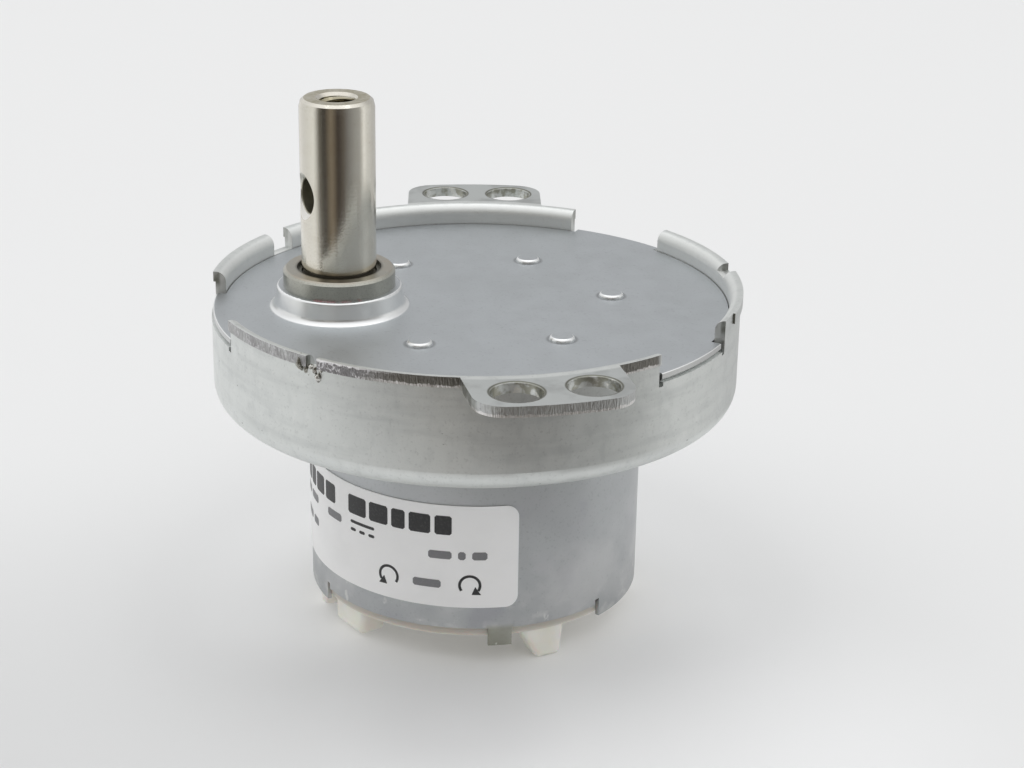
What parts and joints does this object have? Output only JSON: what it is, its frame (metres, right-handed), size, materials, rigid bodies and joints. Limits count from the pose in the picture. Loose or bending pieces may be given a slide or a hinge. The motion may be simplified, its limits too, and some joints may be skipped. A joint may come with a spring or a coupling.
{
  "type": "geared dc motor",
  "caption": "Round geared DC motor: flat spur gearhead in a pressed steel can with holed ears, an offset output shaft with a cross hole and tapped end, and a brush motor below.",
  "frame": {"origin": "centre of the outer pair of ear holes, on the gearbox axis at the top face of the ears", "axes": "+Z along the output shaft, out of the gearbox; +Y through the ears; the output shaft is on the -X side"},
  "size_m": [0.0502, 0.0634, 0.0509],
  "materials": {
    "can_steel": "zinc plated, matt",
    "plate_steel": "zinc plated, blueish satin",
    "motor_steel": "zinc plated, satin",
    "shaft_nickel": "nickel plated, turned",
    "bush_iron": "sintered, oiled",
    "gear_steel": "blanked, oiled",
    "gear_brass": "cut brass",
    "pin_steel": "ground",
    "bearing_bronze": "sintered bronze",
    "screw_steel": "zinc plated",
    "magnet_ferrite": "ferrite, dull",
    "spring_steel": "sprung strip",
    "core_steel": "stacked laminations",
    "winding_copper": "enamelled wire",
    "hub_plastic": "moulded phenolic",
    "segment_copper": "polished copper",
    "cap_nylon": "natural nylon, cloudy",
    "brush_carbon": "carbon",
    "leaf_bronze": "phosphor bronze strip",
    "terminal_tin": "tinned",
    "label_paper": "white film"
  },
  "bodies": {
    "housing": {"gearbox_can": "can_steel", "cover_plate": "plate_steel", "output_bush": "bush_iron", "output_thrust_washer": "pin_steel", "output_lower_bush": "bush_iron", "gear_washers": "pin_steel", "motor_screws": "screw_steel", "motor_can": "motor_steel", "rating_label": "label_paper", "motor_front_bearing": "bearing_bronze", "motor_rear_bearing": "bearing_bronze", "magnet_a": "magnet_ferrite", "magnet_b": "magnet_ferrite", "magnet_springs": "spring_steel", "end_cap": "cap_nylon", "brush_a": "brush_carbon", "brush_leaf_a": "leaf_bronze", "terminal_a": "terminal_tin", "brush_b": "brush_carbon", "brush_leaf_b": "leaf_bronze", "terminal_b": "terminal_tin", "gear_axle_1": "pin_steel", "gear_axle_2": "pin_steel", "gear_axle_3": "pin_steel", "gear_axle_4": "pin_steel", "gear_axle_5": "pin_steel"},
    "output": {"output_shaft": "shaft_nickel", "output_gear": "gear_steel"},
    "idler_1": {"wheel_1": "gear_steel", "pinion_1": "gear_brass"},
    "idler_2": {"wheel_2": "gear_steel", "pinion_2": "gear_brass"},
    "idler_3": {"wheel_3": "gear_steel", "pinion_3": "gear_brass"},
    "idler_4": {"wheel_4": "gear_steel", "pinion_4": "gear_brass"},
    "idler_5": {"wheel_5": "gear_steel", "pinion_5": "gear_brass"},
    "rotor": {"motor_shaft": "pin_steel", "motor_pinion": "gear_brass", "armature_core": "core_steel", "armature_windings": "winding_copper", "commutator_hub": "hub_plastic", "commutator_segments": "segment_copper", "rotor_washers": "hub_plastic"}
  },
  "joints": [
    {"name": "output_spin", "type": "hinge", "parent": "housing", "child": "output", "pos_m": [-0.013, 0, 0], "axis": [0, 0, 1], "continuous": true},
    {"name": "idler_1_spin", "type": "hinge", "parent": "housing", "child": "idler_1", "pos_m": [-0.0065, -0.01126, 0], "axis": [0, 0, 1], "continuous": true},
    {"name": "idler_2_spin", "type": "hinge", "parent": "housing", "child": "idler_2", "pos_m": [0.0065, -0.01126, 0], "axis": [0, 0, 1], "continuous": true},
    {"name": "idler_3_spin", "type": "hinge", "parent": "housing", "child": "idler_3", "pos_m": [0.013, 0, 0], "axis": [0, 0, 1], "continuous": true},
    {"name": "idler_4_spin", "type": "hinge", "parent": "housing", "child": "idler_4", "pos_m": [0.0065, 0.01126, 0], "axis": [0, 0, 1], "continuous": true},
    {"name": "idler_5_spin", "type": "hinge", "parent": "housing", "child": "idler_5", "pos_m": [-0.0065, 0.01126, 0], "axis": [0, 0, 1], "continuous": true},
    {"name": "rotor_spin", "type": "hinge", "parent": "housing", "child": "rotor", "pos_m": [0, 0, 0], "axis": [0, 0, 1], "continuous": true}
  ],
  "couplings": [
    {"joint": "idler_5_spin", "follows": "output_spin", "ratio": -2.0588},
    {"joint": "idler_4_spin", "follows": "output_spin", "ratio": 4.2388},
    {"joint": "idler_3_spin", "follows": "output_spin", "ratio": -8.7268},
    {"joint": "idler_2_spin", "follows": "output_spin", "ratio": 17.967},
    {"joint": "idler_1_spin", "follows": "output_spin", "ratio": -36.991},
    {"joint": "rotor_spin", "follows": "output_spin", "ratio": 100.4}
  ]
}
